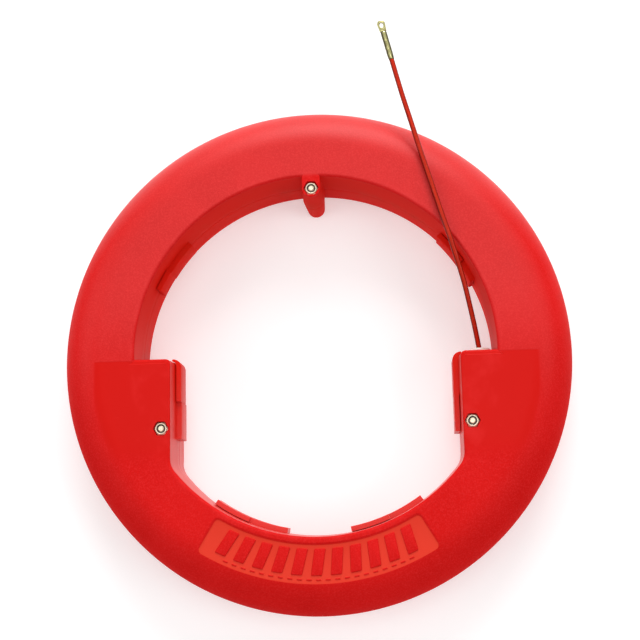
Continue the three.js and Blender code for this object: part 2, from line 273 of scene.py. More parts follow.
# %% Rows that are moved inwards from a flat loop
def inset_loop(loop, amount):
    """A flat anticlockwise loop, moved inwards."""
    moved = []
    for i, point in enumerate(loop):
        way = (loop[(i + 1) % len(loop)] - loop[i - 1]).normalized()
        moved.append(point + Vector((-way.y, way.x)) * amount)
    return moved


EYE_LENGTH, EYE_WIDTH, EYE_FOOT = 9.6, 6.6, 2.7
HOLE_HALF, HOLE_Y = (1.45, 2.05), 5.4
EYE_STEPS, NECK_STEPS, SHOULDER = 28, 4, 0.25
EYE_LAYERS = [(0.55, -1.2), (0.2, -1.1), (0.05, -0.85), (0.0, -0.5),
              (0.0, 0.5), (0.05, 0.85), (0.2, 1.1), (0.55, 1.2)]


def eye_outline(width, length, foot):
    """A foot that widens into a round head, anticlockwise."""
    half = width / 2
    turns = [-SHOULDER + (pi + 2 * SHOULDER) * i / EYE_STEPS for i in range(EYE_STEPS + 1)]
    head = [Vector((half * cos(a), length - half + half * sin(a))) for a in turns]
    left, right = head[-1], head[0]
    down = [left.lerp(Vector((-foot, 0)), (i + 1) / NECK_STEPS) for i in range(NECK_STEPS)]
    up = [Vector((foot, 0)).lerp(right, i / NECK_STEPS) for i in range(NECK_STEPS)]
    return head + down + up


eye_start = ferrule_start + tip_way * (FERRULE_LENGTH + JOIN_GAP)
eye_place = Matrix.Translation(eye_start) @ Matrix.Rotation(atan2(tip_way.y, tip_way.x) - pi / 2, 4, "Z")
oval = [Vector((HOLE_HALF[0] * spot.x, HOLE_Y + HOLE_HALF[1] * spot.y)) for spot in circle(1, 0, EYE_STEPS)]
bm = bmesh.new()
for loop, sign in ((eye_outline(EYE_WIDTH, EYE_LENGTH, EYE_FOOT), 1), (oval, -1)):
    add_rows(bm, [[eye_place @ Vector((*point, height)) for point in inset_loop(loop, sign * amount)]
                  for amount, height in EYE_LAYERS])
for _, height in (EYE_LAYERS[0], EYE_LAYERS[-1]):
    fill_level(bm, eye_start.z + height)
pulling_eye = finish_mesh(bm, "pulling_eye_forged", sharp=40)
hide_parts("pulling_eye")
print(pulling_eye.name, len(pulling_eye.data.polygons), "faces")

for piece in (tip_ferrule, pulling_eye):
    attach(piece, "leader")
tuple(exit_point * MM)
[tuple(p * MM) for p in rod_line]

# %% [markdown]
# ## Shader arithmetic
# A finish is worked out as a formula over the surface: how grainy, how worn, how dark. Nodes can do that,
# but a formula reads better as Python. A small class wraps a socket, so that + - * / on it add the Math
# nodes, and one method adds any other node with its settings and inputs.

# %% A socket that can be calculated with
class Value:
    """A number that changes over the surface."""

    def __init__(self, recipe, socket):
        self.recipe, self.socket = recipe, socket

    def math(self, operation, *terms, clamp=False):
        inputs = {i: term for i, term in enumerate(terms)}
        return self.recipe.node("ShaderNodeMath", {"operation": operation, "use_clamp": clamp}, inputs)

    def __add__(self, other):
        return self.math("ADD", self, other)

    def __sub__(self, other):
        return self.math("SUBTRACT", self, other)

    def __mul__(self, other):
        return self.math("MULTIPLY", self, other)

    def __rsub__(self, other):
        return self.math("SUBTRACT", other, self)

    def __abs__(self):
        return self.math("ABSOLUTE", self)

    def __pow__(self, other):
        return self.math("POWER", self, other)

    def clamped(self):
        return self.math("ADD", self, 0.0, clamp=True)

    def most(self, other):
        return self.math("MAXIMUM", self, other)

    def between(self, low, high):
        """0 below low, 1 above high, smooth between them. low may be the greater, which turns it round."""
        settings = {"interpolation_type": "SMOOTHSTEP"}
        inputs = {"Value": self, "From Min": low, "From Max": high}
        return self.recipe.node("ShaderNodeMapRange", settings, inputs)

    def ramp_mm(self, low, high):
        """The same for a length, with the ends in millimetres."""
        return self.between(low * MM, high * MM)


# %% A material written as a recipe
class Recipe:
    """One material's nodes."""

    def __init__(self, name):
        self.material = bpy.data.materials.new(name)
        self.material.use_nodes = True
        self.tree = self.material.node_tree
        self.shader = self.tree.nodes["Principled BSDF"]

    def node(self, kind, settings=None, inputs=None, output=0):
        """Adds a node with its settings, then its inputs by name or number. Returns one of its outputs."""
        node = self.tree.nodes.new(kind)
        for key, value in (settings or {}).items():
            setattr(node, key, value)
        for key, value in (inputs or {}).items():
            self.feed(node.inputs[key], value)
        return Value(self, node.outputs[output])

    def feed(self, socket, value):
        if isinstance(value, Value):
            self.tree.links.new(value.socket, socket)
        elif hasattr(value, "__len__") and len(value) == 3 and len(socket.default_value) == 4:
            socket.default_value = (*value, 1.0)
        else:
            socket.default_value = value

    def axes(self, attribute=None):
        """The object coordinates, or a UV map, as a vector and its three numbers."""
        if attribute:
            vector = self.node("ShaderNodeUVMap", {"uv_map": attribute})
        else:
            vector = self.node("ShaderNodeTexCoord", output="Object")
        return vector, [self.node("ShaderNodeSeparateXYZ", None, {0: vector}, k) for k in range(3)]

    def noise(self, vector, scale, detail=3.0, roughness=0.5, stretch=None):
        if stretch:
            vector = self.node("ShaderNodeMapping", None, {"Vector": vector, "Scale": stretch})
        inputs = {"Vector": vector, "Scale": scale, "Detail": detail, "Roughness": roughness}
        return self.node("ShaderNodeTexNoise", None, inputs, "Fac")

    def blend(self, factor, first, second):
        """A colour between two colours."""
        node = self.tree.nodes.new("ShaderNodeMix")
        node.data_type = "RGBA"
        self.feed(node.inputs["Factor"], factor)
        colours = [socket for socket in node.inputs if socket.type == "RGBA"]
        self.feed(colours[0], first)
        self.feed(colours[1], second)
        return Value(self, next(socket for socket in node.outputs if socket.type == "RGBA"))

    def bump(self, height, distance, strength=1.0):
        """A normal for a height from 0 to 1 that stands for a real distance in metres."""
        inputs = {"Height": height, "Distance": distance, "Strength": strength}
        return self.node("ShaderNodeBump", None, inputs)

    def finish(self, **values):
        """Feeds the shader's sockets. Their names are written with _ for a space."""
        for key, value in values.items():
            self.feed(self.shader.inputs[key.replace("_", " ").title().replace("Ior", "IOR")], value)
        return self.material


def paint(obj, *materials):
    """Gives a piece its materials."""
    obj.data.materials.clear()
    for material in materials:
        obj.data.materials.append(material)


# %% [markdown]
# ## Red moulded plastic
# The case is injection-moulded, through-coloured plastic. Most of it has a fine stipple, which spreads the
# highlights, and the flat panels on the two blocks and the floor of the label recess are smooth. Age adds
# faint scuffs on the face, pale rubbed edges and a little dust on the wall. All of it is worked out from
# the place on the case: the distance from the ring's axis tells face, rim and wall apart, the height tells
# the label's floor from the bars on it, and x and y find the smooth panels.

# %% Where the finish changes
PANEL_X, PANEL_Y = (110.0, 171.0), (-87.0, -3.0)
PANEL_SOFT, PANEL_FADE = 0.5, 24.0
LABEL_RADII = (146.0, 175.0)
LABEL_MEAN = sum(LABEL_RADII) / 2
LABEL_HALF_ANGLE = 31.5
LABEL_CORNER = 3.5
WALL_EDGE = 140.0


def panel_mask(across, y):
    """1 on the smooth panels of the two blocks, which fade out towards the label."""
    mask = across.ramp_mm(PANEL_X[0] - PANEL_SOFT, PANEL_X[0] + PANEL_SOFT)
    mask = mask * across.ramp_mm(PANEL_X[1] + 3 * PANEL_SOFT, PANEL_X[1] - 3 * PANEL_SOFT)
    mask = mask * y.ramp_mm(PANEL_Y[0], PANEL_Y[0] + PANEL_FADE)
    return mask * y.ramp_mm(PANEL_Y[1] + PANEL_SOFT, PANEL_Y[1] - PANEL_SOFT)


def label_mask(across, y, radius):
    """1 inside the label's outline: a rounded rectangle, bent round the ring."""
    run = across.math("ARCTAN2", across, 0 - y) * (LABEL_MEAN * MM)
    half_run = radians(LABEL_HALF_ANGLE) * LABEL_MEAN
    half_height = (LABEL_RADII[1] - LABEL_RADII[0]) / 2
    past_end = (run - (half_run - LABEL_CORNER) * MM).most(0.0)
    past_side = (abs(radius - LABEL_MEAN * MM) - (half_height - LABEL_CORNER) * MM).most(0.0)
    from_core = (past_end * past_end + past_side * past_side) ** 0.5
    return from_core.ramp_mm(LABEL_CORNER + 0.2, LABEL_CORNER - 0.3)


# %% Case plastic
RED, RED_DEEP, RED_PALE = (0.66, 0.0055, 0.0048), (0.60, 0.0035, 0.0025), (0.76, 0.026, 0.026)
# the label floor's colour holds a painted sheen: it is paler and more orange than the plastic
RED_WALL, RED_PANEL, RED_LABEL_SHEEN = (0.68, 0.010, 0.003), (0.62, 0.0080, 0.0050), (0.72, 0.040, 0.020)
RED_DUSTY = (0.42, 0.045, 0.02)


def case_plastic():
    r = Recipe("case_red_plastic")
    spot, (x, y, z) = r.axes()
    radius, across, off_mid = (x * x + y * y) ** 0.5, abs(x), abs(z - MID * MM)
    on_face = off_mid.ramp_mm(MID - 1.2, MID - 0.4)
    on_floor = off_mid.ramp_mm(MID - 2.2, MID - 1.8) * off_mid.ramp_mm(MID - 0.6, MID - 0.85)
    panel = panel_mask(across, y) * on_face
    label = label_mask(across, y, radius) * on_floor
    inside = radius.ramp_mm(WALL_EDGE + 0.4, WALL_EDGE - 0.2) * off_mid.ramp_mm(MID - 1.2, MID - 2.2)
    smooth = panel.most(label).most(inside * 0.75)
    # grain, clouds, scuffs, rubbed edges and dust
    grain = r.noise(spot, 900, 3.0, 0.6)
    cells = {"Vector": spot, "Scale": 850}
    pits = r.node("ShaderNodeTexVoronoi", {"feature": "SMOOTH_F1"}, cells, "Distance")
    stipple = grain * 0.6 + (1 - pits) * 0.4
    cloud = r.noise(spot, 14, 4.0, 0.6)
    scuff = r.noise(spot, 60, 5.0, 0.75, stretch=(1.0, 3.0, 1.0)).between(0.60, 0.78) * on_face * 0.35
    rub = radius.ramp_mm(WALL_EDGE + 6, WALL_EDGE + 1) * on_face
    rub = rub * r.noise(spot, 45, 3.0, 0.6).between(0.45, 0.7) * 0.35
    dust = off_mid.ramp_mm(MID - 6, 0.0) * r.noise(spot, 30, 4.0, 0.6).between(0.4, 0.8) * 0.3
    # colour
    colour = r.blend(cloud.between(0.3, 0.7), RED_DEEP, RED)
    colour = r.blend(grain.between(0.42, 0.68) * (1 - smooth) * 0.4, colour, RED_PALE)
    colour = r.blend(panel * 0.8, colour, RED_PANEL)
    # painted sheen: the smooth label floor is given a paler, more orange colour in place of its reflection
    colour = r.blend(label, colour, RED_LABEL_SHEEN)
    colour = r.blend(inside, colour, RED_WALL)
    colour = r.blend(inside * dust, colour, RED_DUSTY)
    colour = r.blend((scuff + rub).clamped(), colour, RED_PALE)
    # the upper wall and the lower rim are the most matt, and the flat face has a haze towards the top boss
    matt_wall = inside * y.ramp_mm(-20, 60) * 0.35
    matt_rim = radius.ramp_mm(178, 194) * y.ramp_mm(60, -100) * 0.38
    roughness = (1 - smooth) * 0.20 + 0.30 + grain * 0.08 + scuff * 0.3 + matt_wall + matt_rim
    height = stipple * (1 - smooth * 0.93) + r.noise(spot, 22, 2.0) * 0.25
    flat = off_mid.ramp_mm(MID - 8, MID - 0.6).most(y.ramp_mm(60, 140))
    haze = (1 - smooth) * flat * radius.ramp_mm(WALL_EDGE - 0.4, WALL_EDGE + 3)
    haze = haze * (y.ramp_mm(-60, 60) * 0.6 + 0.03)
    polish = inside * y.ramp_mm(10, -100) * 0.8
    return r.finish(Base_Color=colour, Roughness=roughness, Normal=r.bump(height, 0.00028, 0.8),
                    Specular_IOR_Level=0.07, Coat_Weight=haze + polish, Coat_Roughness=0.48)


case_red = case_plastic()
print("material", case_red.name, len(case_red.node_tree.nodes), "nodes")

# %% [markdown]
# ## Metals and nylon
# The nuts and screws are zinc plated and passivated, which gives a warm, slightly yellow grey with small
# cloudy patches. The lock nuts' inserts are dark nylon, worn shiny by the thread. The bush is natural white
# nylon with rub marks. The ferrule and eye are brass, drawn and then handled, so they are green-gold with
# brown in the grooves. Their sides, where the brass would reflect the dark below, get a painted shade that
# darkens them. Each is a small recipe of its own.

# %% Zinc
def zinc_plate():
    r = Recipe("zinc_passivated")
    spot, _ = r.axes()
    cloud = r.noise(spot, 260, 4.0, 0.6)
    fine = r.noise(spot, 2600, 3.0, 0.6)
    colour = r.blend(cloud.between(0.35, 0.7), (0.97, 0.88, 0.68), (0.87, 0.77, 0.56))
    colour = r.blend(fine.between(0.62, 0.75) * 0.5, colour, (0.30, 0.26, 0.20))
    roughness = cloud * 0.22 + fine * 0.12 + 0.16
    return r.finish(Base_Color=colour, Metallic=0.6, Roughness=roughness, Normal=r.bump(fine, 0.00004, 0.5))


zinc = zinc_plate()

# %% Dark insert nylon
def insert_nylon():
    r = Recipe("insert_dark_nylon")
    spot, _ = r.axes()
    cloud = r.noise(spot, 700, 3.0, 0.6)
    colour = r.blend(cloud, (0.030, 0.022, 0.018), (0.085, 0.062, 0.048))
    return r.finish(Base_Color=colour, Roughness=cloud * 0.3 + 0.3, Normal=r.bump(cloud, 0.00005, 0.6))


dark_nylon = insert_nylon()

# %% White bush nylon
def white_nylon():
    r = Recipe("bush_white_nylon")
    spot, _ = r.axes()
    cloud = r.noise(spot, 120, 4.0, 0.55)
    rub = r.noise(spot, 900, 3.0, 0.7, stretch=(1.0, 0.2, 1.0)).between(0.55, 0.8) * 0.4
    colour = r.blend(cloud, (0.86, 0.83, 0.76), (0.93, 0.91, 0.86))
    colour = r.blend(rub, colour, (0.62, 0.54, 0.46))
    return r.finish(Base_Color=colour, Roughness=rub * 0.25 + 0.32, Normal=r.bump(cloud + rub, 0.00006, 0.6),
                    Subsurface_Weight=0.12, Subsurface_Scale=0.002)


bush_white = white_nylon()

# %% Brass
def brass_with_painted_shade(name, sides, crown):
    """Brass with a painted shade: darker towards its sides and plain on its crown. Both are heights over the
    sleeve's axis.
    """
    r = Recipe(name)
    spot, (_, y, z) = r.axes()
    slope = tip_way.z / tip_way.y
    lift = z - y * slope - (ferrule_start.z - slope * ferrule_start.y) * MM
    cloud = r.noise(spot, 210, 4.0, 0.6)
    scratch = r.noise(spot, 700, 3.0, 0.7, stretch=(3.0, 0.35, 3.0))
    tarnish = r.noise(spot, 300, 4.0, 0.6).between(0.52, 0.8) * 0.5
    colour = r.blend(cloud, (0.70, 0.64, 0.25), (0.84, 0.80, 0.42))
    colour = r.blend(tarnish, colour, (0.26, 0.20, 0.07))
    # painted shade: the brass darkens with its height over the sleeve's axis, from the crown height down to
    # the sides height
    colour = r.blend(lift.ramp_mm(crown, sides) * 0.93, colour, (0.05, 0.040, 0.012))
    roughness = scratch * 0.16 + tarnish * 0.2 + 0.12
    return r.finish(Base_Color=colour, Metallic=1.0, Roughness=roughness,
                    Normal=r.bump(scratch, 0.00005, 0.6))


brass = brass_with_painted_shade("brass_ferrule_painted_shade", 1.9, 2.42)
paint(tip_ferrule, brass)
paint(pulling_eye, brass_with_painted_shade("brass_eye_painted_shade", 0.2, 1.1))

# %% [markdown]
# ## Glass-fibre rod
# The rod's skin is clear resin over tight bundles of glass, dyed orange-red. Close up, fine pale and dark
# streaks run along it, and the resin has a wet gloss. The streaks are a noise stretched many times along
# the length on the rod's own UV map, so they follow every bend, and the resin is a clear coat over them.

# %% Rod resin
def rod_resin_with_painted_shade():
    r = Recipe("glass_rod_resin_painted_shade")
    along, (turn, _, _) = r.axes("Along")
    streak = r.noise(along, 1.0, 4.0, 0.65, stretch=(36.0, 60.0, 1.0))
    thread = r.noise(along, 1.0, 2.0, 0.5, stretch=(110.0, 25.0, 1.0))
    wear = r.noise(along, 1.0, 3.0, 0.6, stretch=(9.0, 500.0, 1.0)).between(0.56, 0.75)
    colour = r.blend(streak.between(0.3, 0.72), (0.38, 0.012, 0.004), (0.66, 0.034, 0.010))
    colour = r.blend(thread.between(0.6, 0.8) * 0.25, colour, (0.72, 0.12, 0.05))
    colour = r.blend(wear * 0.2, colour, (0.66, 0.12, 0.07))
    # painted shade: away from the top of the tube (turn 0.75) the rod is darkened to a deep red-brown on its
    # flanks and underside
    colour = r.blend(abs(turn - 0.75).between(0.06, 0.15) * 0.8, colour, (0.12, 0.003, 0.001))
    grain = r.bump(streak + thread * 0.4, 0.00005, 0.5)
    return r.finish(Base_Color=colour, Roughness=wear * 0.25 + 0.24, Normal=grain,
                    Coat_Weight=0.12 - wear * 0.08, Coat_Roughness=0.10, Specular_IOR_Level=0.08)


rod_red = rod_resin_with_painted_shade()
paint(rod_leader, rod_red)

# %% [markdown]
# ## The case: one outline, many rows
# Each half shell is a shallow moulding. Seen from the front, the edge of the hand opening is a chain of
# arcs and straight lines: the ring, the round screw boss at the top and the two blocks. All of them run
# into each other without a corner, so the whole inner wall can be made from one closed line. Every point of
# that line knows the way into the plastic. Moving the points that way by a millimetre gives the wall's
# draft, a few more give the rounded edge, and 3 mm more the hollow inside. Rows of the same points at
# different heights are then joined into a skin. Boolean cutters add what is local: tongues, hexagonal
# pockets, screw holes, the bush's mouth and the label recess.

# %% Sizes of the moulding
RING = 138.5            # inner radius at the parting plane
WALL = 3.0
DRAFT = 1.5             # how much wider the opening is at the face
BLOCK_X, BLOCK_TOP = 110.3, -0.3
CORNER, FOOT = 5.5, 15.0
BOSS = 8.6
TOP_SCREW = (0.0, 130.5)
BLOCK_SCREW = (119.0, -55.8)
EDGE_RING, EDGE_TOP, EDGE_SIDE, EDGE_BOSS = 2.5, 2.5, 1.2, 0.5
LEDGE = 0.35            # how far the strip along a block's top edge lies below the panel
LEDGE_WIDTH = 0.9


# %% The opening's outline as points that know the way into the plastic
class Spot:
    """A point of the outline, its way into the plastic, and the edge's rounding and ledge there."""

    def __init__(self, place, way, edge, ledge=0.0):
        self.place, self.way, self.edge, self.ledge = Vector(place), Vector(way), edge, ledge

    def at(self, inset, height):
        flat = self.place + self.way * inset
        return Vector((flat.x, flat.y, height))


def arc(centre, radius, start, stop, edge, step=1.5, ledge=0.0):
    """An arc in degrees. Anticlockwise it bends round the opening, clockwise round the plastic."""
    count = max(6, int(abs(radians(stop - start)) * radius / step))
    sign = 1 if stop > start else -1
    spots = []
    for i in range(count + 1):
        angle = radians(start + (stop - start) * i / count)
        way = Vector((cos(angle), sin(angle)))
        spots.append(Spot(Vector(centre) + way * radius, way * sign, edge, ledge))
    return spots


def straight(start, stop, way, edge, step=2.0, ledge=0.0):
    start, stop = Vector(start), Vector(stop)
    count = max(1, int((stop - start).length / step))
    return [Spot(start.lerp(stop, i / count), way, edge, ledge) for i in range(1, count)]


def corner(place, way_in, way_out, before, after):
    """A sharp inner corner, twice in one place: two walls meet, each with its own (edge, ledge)."""
    way_in, way_out = Vector(way_in), Vector(way_out)
    mitre = (way_in + way_out) / (1 + way_in.dot(way_out))
    return [Spot(place, mitre, *before), Spot(place, mitre, *after)]


def opening_outline():
    """The whole opening, anticlockwise: up the ring from the right block, over the boss, and down again."""
    meet_x = sqrt(RING ** 2 - BLOCK_TOP ** 2)
    meet_end = degrees(atan2(BLOCK_TOP, meet_x))
    boss_top = sqrt(RING ** 2 - BOSS ** 2)
    boss_end = degrees(atan2(boss_top, BOSS))
    foot_x = BLOCK_X - FOOT
    foot_y = -sqrt((RING - FOOT) ** 2 - foot_x ** 2)
    foot_end = degrees(atan2(foot_y, foot_x))
    round_x, round_y = BLOCK_X + CORNER, BLOCK_TOP - CORNER
    ring, boss, top = (EDGE_RING, 0.0), (EDGE_BOSS, 0.0), (EDGE_TOP, LEDGE)
    ring_way = Vector((BOSS, boss_top)).normalized()
    half = corner((meet_x, BLOCK_TOP), (0, -1), (1, 0), top, ring)
    half += arc((0, 0), RING, meet_end, boss_end, EDGE_RING)[1:-1]
    half += corner((BOSS, boss_top), ring_way, (-1, 0), ring, boss)
    half += straight((BOSS, boss_top), (BOSS, TOP_SCREW[1]), (-1, 0), EDGE_BOSS)
    half += arc(TOP_SCREW, BOSS, 0, -90, EDGE_BOSS, 0.6)
    lower = arc((0, 0), RING, 270, 360 + foot_end, EDGE_RING)
    lower += arc((foot_x, foot_y), FOOT, foot_end, 0, EDGE_RING)[1:]
    lower += straight((BLOCK_X, foot_y), (BLOCK_X, round_y), (1, 0), EDGE_SIDE)
    lower += arc((round_x, round_y), CORNER, 180, 90, EDGE_TOP, 0.6, LEDGE)
    lower += straight((round_x, BLOCK_TOP), (meet_x, BLOCK_TOP), (0, -1), EDGE_TOP, ledge=LEDGE)
    return half + mirrored(half)[1:] + mirrored(lower)[:-1] + lower


def mirrored(spots):
    """The same spots on the other side, in the other order, so that the line runs on."""
    flip = Vector((-1, 1))
    return [Spot(s.place * flip, s.way * flip, s.edge, s.ledge) for s in reversed(spots)]


outline = opening_outline()
print("outline", len(outline), "points")


# %% The half shell's skin
SEAM = PARTING + 0.4    # where the wall's draft begins, over the eased edge of the parting plane
WALL_STEPS, EDGE_STEPS, RIM_STEPS, HOLLOW_STEPS = 5, 7, 18, 10
LEDGE_RUN = [(0.0, 1.0), (0.25, 0.8), (0.55, 0.0), (1.0, 0.0)]    # reach past the ledge, share of its drop


def inner_rows(spots):
    """From the parting plane up the drafted wall, round the edge, over the ledge and onto the face."""
    rows = [[s.at(0.2, PARTING) for s in spots], [s.at(0.06, PARTING + 0.08) for s in spots]]
    for k in range(WALL_STEPS + 1):
        share = k / WALL_STEPS
        rows.append([s.at(DRAFT * share, SEAM + (DEPTH - s.ledge - s.edge - SEAM) * share) for s in spots])
    for k in range(1, EDGE_STEPS + 1):
        turn = pi / 2 * k / EDGE_STEPS
        rows.append([s.at(DRAFT + s.edge * (1 - cos(turn)), DEPTH - s.ledge - s.edge * (1 - sin(turn)))
                     for s in spots])
    for reach, drop in LEDGE_RUN:
        rows.append([s.at(DRAFT + s.edge + LEDGE_WIDTH + reach, DEPTH - s.ledge * drop) for s in spots])
    return rows


def rim_rows(radius, lift, steps, count):
    """The rounded outer rim as full circles, from a little above the parting plane to the face."""
    start = asin((PARTING + lift - MID) / radius)
    turns = [start + (pi / 2 - start) * k / steps for k in range(steps + 1)]
    return [circle(FACE_EDGE + radius * cos(turn), MID + radius * sin(turn), count) for turn in turns]


def half_shell_skin(spots, around=360):
    """A closed half shell: inner wall, face, rim, and the hollow inside it."""
    bm = bmesh.new()
    wall = add_rows(bm, inner_rows(spots))
    lip = [circle(OUTER - 0.4, PARTING, around), circle(OUTER - 0.12, PARTING + 0.12, around)]
    rim = add_rows(bm, lip + rim_rows(MID, SEAM - PARTING, RIM_STEPS, around)
                   + [circle(FACE_EDGE - 1, DEPTH, around)])
    hollow_wall = add_rows(bm, [[s.at(WALL, PARTING) for s in spots],
                                [s.at(WALL + DRAFT, DEPTH - WALL) for s in spots]])
    hollow_rim = add_rows(bm, rim_rows(MID - WALL, 0, HOLLOW_STEPS, around))
    for outer, inner in ((wall[0], hollow_wall[0]), (rim[0], hollow_rim[0])):
        for i in range(len(outer)):
            j = (i + 1) % len(outer)
            bm.faces.new((outer[i], outer[j], inner[j], inner[i]))
    for height in (DEPTH, DEPTH - WALL):
        fill_level(bm, height)
    return bm


front_case = finish_mesh(half_shell_skin(outline), "front_case")
print("front skin", len(front_case.data.polygons), "faces")


# %% [markdown]
# ## Cutting and joining
# A Boolean modifier needs closed, outward-facing tools. Each tool below is made from the same row helper.
# The result is turned into a plain mesh at once, and the tool is thrown away.

# %% Boolean helper
def apply_modifiers(obj):
    """Replaces an object's mesh with what its modifiers make of it."""
    graph = bpy.context.evaluated_depsgraph_get()
    mesh = bpy.data.meshes.new_from_object(obj.evaluated_get(graph))
    obj.modifiers.clear()
    obj.data = mesh
    return obj


def discard(obj):
    bpy.data.objects.remove(obj, do_unlink=True)


def combine(obj, bm, operation):
    """Adds a closed tool to obj, or cuts it away."""
    tool = finish_mesh(bm, "tool")
    modifier = obj.modifiers.new("combine", "BOOLEAN")
    modifier.operation = operation
    modifier.solver = "MANIFOLD"
    modifier.object = tool
    apply_modifiers(obj)
    discard(tool)
    return obj


# %% [markdown]
# ### Tongues
# Short tongues on the inner wall reach past the parting plane over the other half's wall and keep the two
# halves in line. Each is a strip that follows the outline at a small distance inside the opening, so the
# same spots carry it, with negative insets. Its front end reaches back into its own half, where it is
# rooted, and its edges are eased. On the ring there are four. On each block an upper one thins out round
# the block's corner and a lower one follows.

# %% Tongues
TONGUE = 3.9
TONGUE_GAP = 0.3
TONGUE_CORNER, TONGUE_RISE = 6.5, 0.6
TONGUE_LOW, TONGUE_HIGH = MID - 13, MID + 10
RING_TONGUES = [(24.5, 31.74), (136.5, 148.2), (246.9, 259.7), (293.11, 305.3)]
ROOT = PARTING + 0.7


def tongue_section(thick):
    """The section of a tongue: free behind, rooted in front. Its back keeps the drafted wall's slope."""
    soft = min(0.8, thick / 3)
    back = -TONGUE_GAP + 0.35
    return [(back, TONGUE_LOW), (soft - thick, TONGUE_LOW), (soft * 0.3 - thick, TONGUE_LOW + soft * 0.3),
            (-thick, TONGUE_LOW + soft), (-thick, TONGUE_HIGH - soft),
            (soft * 0.3 - thick, TONGUE_HIGH - soft * 0.3), (soft - thick, TONGUE_HIGH),
            (1.6, TONGUE_HIGH), (1.6, ROOT), (-TONGUE_GAP, ROOT), (-TONGUE_GAP + 0.1, MID - 2)]


def strip(bm, spots, thicknesses=None):
    """Sweeps the tongue's section along the spots, and closes its two ends."""
    sizes = thicknesses or [TONGUE] * len(spots)
    closed_rows(bm, [[spot.at(inset, height) for inset, height in tongue_section(thick)]
                     for spot, thick in zip(spots, sizes)])


def block_tongue_spots():
    """The upper tongue, up to the block's top corner, and the lower one, both as on the right block."""
    place = (BLOCK_X + CORNER, BLOCK_TOP - CORNER)
    bend = arc(place, CORNER, 180, 112, 0, 0.5)
    upper = [Spot((BLOCK_X, y), (1, 0), 0) for y in (-33.0, -20)] + bend
    sizes = [TONGUE, TONGUE]
    for spot in bend:
        reach = Vector((BLOCK_X - TONGUE + TONGUE_CORNER, TONGUE_RISE - TONGUE_CORNER)) - spot.place
        along = reach.dot(-spot.way)
        sizes.append(min(TONGUE, along + sqrt(along ** 2 - reach.length ** 2 + TONGUE_CORNER ** 2)))
    lower = [Spot((BLOCK_X, y), (1, 0), 0) for y in (-62, -48, -33.15)]
    return upper, sizes, lower


bm = bmesh.new()
for start, stop in RING_TONGUES:
    strip(bm, arc((0, 0), RING, start, stop, 0))
upper_tongue, upper_sizes, lower_tongue = block_tongue_spots()
strip(bm, upper_tongue, upper_sizes)
strip(bm, mirrored(lower_tongue))
combine(front_case, bm, "UNION")
print("with tongues", len(front_case.data.polygons), "faces")

# %% [markdown]
# ### Screw columns, pockets and holes
# Three columns inside each half carry the screws. Each face has a hexagonal pocket over every column: on
# the front the pockets hold the lock nuts, on the back the screw heads. A pocket's lip is broken by a small
# chamfer.

# %% Columns, pockets and holes
COLUMN = {"top": BOSS - 1.6, "left": 6.8, "right": 6.8}
POCKET_FLATS, POCKET_DEPTH, LIP, POCKET_EASE = 10.6, 7.5, 0.25, 0.55
HOLE = 2.7
STATIONS = {"top": TOP_SCREW, "left": (-BLOCK_SCREW[0], BLOCK_SCREW[1]), "right": BLOCK_SCREW}


def hexagon(flats, place, height):
    """Six corners, two of them on the X axis, each eased by two points."""
    tips = [Vector((spot.x, spot.y)) for spot in circle(flats / sqrt(3), 0, 6)]
    points = []
    for k, tip in enumerate(tips):
        for way in (tips[k - 1] - tip, tips[(k + 1) % 6] - tip):
            points.append(tip + way.normalized() * POCKET_EASE)
    return [Vector((p.x + place[0], p.y + place[1], height)) for p in points]


bm = bmesh.new()
for side, place in STATIONS.items():
    turned(bm, [(COLUMN[side], PARTING + 0.2), (COLUMN[side], DEPTH - 1.5)], 48, (*place, 0))
combine(front_case, bm, "UNION")
bm = bmesh.new()
for place in STATIONS.values():
    closed_rows(bm, [hexagon(POCKET_FLATS + wider, place, height) for wider, height in (
        (-0.4, DEPTH - POCKET_DEPTH), (0.0, DEPTH - LIP), (2 * LIP, DEPTH), (2 * LIP + 2, DEPTH + 1))])
combine(front_case, bm, "DIFFERENCE")
bm = bmesh.new()
for place in STATIONS.values():
    turned(bm, [(HOLE, MID - 1), (HOLE, DEPTH - 5)], 32, (*place, 0))
combine(front_case, bm, "DIFFERENCE")
print("with pockets", len(front_case.data.polygons), "faces")

# %% [markdown]
# ### Label recess
# A long shallow recess follows the ring under the opening on both faces. On the real case it carries a
# name, which is left out here: a plain row of slanted bars and small dashes stands raised in it instead.
# The recess is a swept sector with rounded corners, slightly wider at the face than at its floor.

# %% Label recess
LABEL_FLOOR = DEPTH - 1.0


def label_outline(grow, height, steps=56):
    """The recess's outline, grown all round: a rounded rectangle, bent round the ring."""
    half = radians(LABEL_HALF_ANGLE) * LABEL_MEAN + grow
    low, high = LABEL_RADII[0] - grow, LABEL_RADII[1] + grow
    size = LABEL_CORNER + grow
    flat = []
    for k, (u, v) in enumerate(((half - size, high - size), (size - half, high - size),
                                (size - half, low + size), (half - size, low + size))):
        flat += [(u + size * cos(a), v + size * sin(a)) for a in (radians(90 * k + 15 * i) for i in range(7))]
    fine = []
    for (u0, v0), (u1, v1) in zip(flat, flat[1:] + flat[:1]):
        count = steps if abs(u1 - u0) > half else 1
        fine += [(u0 + (u1 - u0) * i / count, v0 + (v1 - v0) * i / count) for i in range(count)]
    return [Vector((v * sin(u / LABEL_MEAN), -v * cos(u / LABEL_MEAN), height)) for u, v in fine]


bm = bmesh.new()
closed_rows(bm, [label_outline(grow, height) for grow, height in
                 ((-0.9, LABEL_FLOOR), (-0.35, LABEL_FLOOR + 0.12), (0.9, DEPTH - 0.22), (1.4, DEPTH - 0.05),
                  (1.9, DEPTH + 0.3))])
combine(front_case, bm, "DIFFERENCE")
print("with recess", len(front_case.data.polygons), "faces")

# %% [markdown]
# ### The second half and the bush's mouth
# The rear half comes from the same mould, turned over about the vertical axis, so its mesh is a turned
# copy. The bush sits between the halves in the right block's top, so its half-round mouth is cut last, in
# each half.

